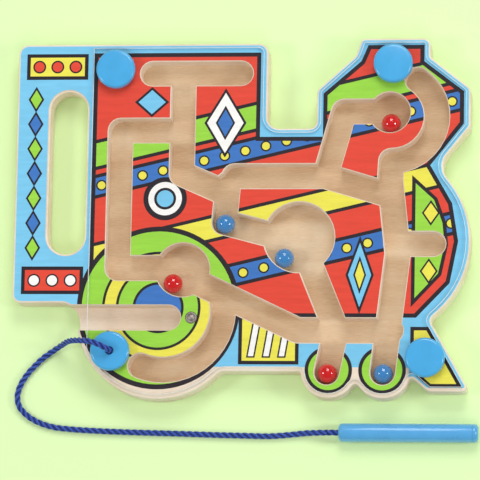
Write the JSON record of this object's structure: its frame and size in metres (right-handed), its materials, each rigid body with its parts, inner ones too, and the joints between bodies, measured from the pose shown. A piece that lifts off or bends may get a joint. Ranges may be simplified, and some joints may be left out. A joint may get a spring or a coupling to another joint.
{
  "type": "magnetic maze board",
  "caption": "Wooden maze board cut to a steam-engine outline: a clear cover over routed ball tracks, painted steel balls, a handle slot, and a magnet wand on a cord that parks in its side.",
  "frame": {"origin": "on the back face of the board, near the middle of its outline, where it lies on the table", "axes": "+X along the board from the handle slot to the engine's front, +Y to the cab roof, +Z out of the covered face"},
  "size_m": [0.3033, 0.2624, 0.0359],
  "materials": {
    "wood": "satin, printed face",
    "clear_acrylic": "clear polished",
    "blue_plastic": "gloss",
    "red_paint": "gloss",
    "blue_paint": "gloss",
    "steel": "brushed",
    "magnet_plating": "plated",
    "cord_yarn": "laid yarn"
  },
  "bodies": {
    "board": {"maze_board": "wood", "clear_cover": "clear_acrylic", "cap_upper_left": "blue_plastic", "cap_upper_right": "blue_plastic", "cap_lower_right": "blue_plastic", "cord_cap": "blue_plastic", "keeper_disc": "steel", "board_knot": "cord_yarn", "cord": "cord_yarn"},
    "red_1": {"ball_red_1": "red_paint"},
    "red_2": {"ball_red_2": "red_paint"},
    "red_3": {"ball_red_3": "red_paint"},
    "blue_1": {"ball_blue_1": "blue_paint"},
    "blue_2": {"ball_blue_2": "blue_paint"},
    "blue_3": {"ball_blue_3": "blue_paint"},
    "cord_end": {"cord_bend": "cord_yarn"},
    "wand": {"wand_barrel": "blue_plastic", "wand_knot": "cord_yarn", "wand_magnet": "magnet_plating", "wand_tip_plug": "blue_plastic"}
  },
  "joints": [
    {"name": "red_1_roll", "type": "slide", "parent": "board", "child": "red_1", "axis": [-0.0698, 0.9976, 0], "range_m": [0, 0.0118]},
    {"name": "red_2_roll", "type": "slide", "parent": "board", "child": "red_2", "axis": [0.6428, 0.766, 0], "range_m": [0, 0.0205]},
    {"name": "red_3_roll", "type": "slide", "parent": "board", "child": "red_3", "axis": [0.2024, 0.9793, 0], "range_m": [0, 0.0277]},
    {"name": "blue_1_roll", "type": "slide", "parent": "board", "child": "blue_1", "axis": [0.0779, 0.997, 0], "range_m": [0, 0.0257]},
    {"name": "blue_2_roll", "type": "slide", "parent": "board", "child": "blue_2", "axis": [0.6157, 0.788, 0], "range_m": [0, 0.0315]},
    {"name": "blue_3_roll", "type": "slide", "parent": "board", "child": "blue_3", "axis": [0.1145, 0.9934, 0], "range_m": [0, 0.077]},
    {"name": "wand_swing", "type": "hinge", "parent": "board", "child": "cord_end", "pos_m": [0.0593, -0.1388, 0.006], "axis": [0, 0, 1], "range_deg": [-95, 8]},
    {"name": "wand_lift", "type": "hinge", "parent": "cord_end", "child": "wand", "pos_m": [0.0593, -0.1388, 0.006], "axis": [0, -1, 0], "range_deg": [0, 80]}
  ]
}
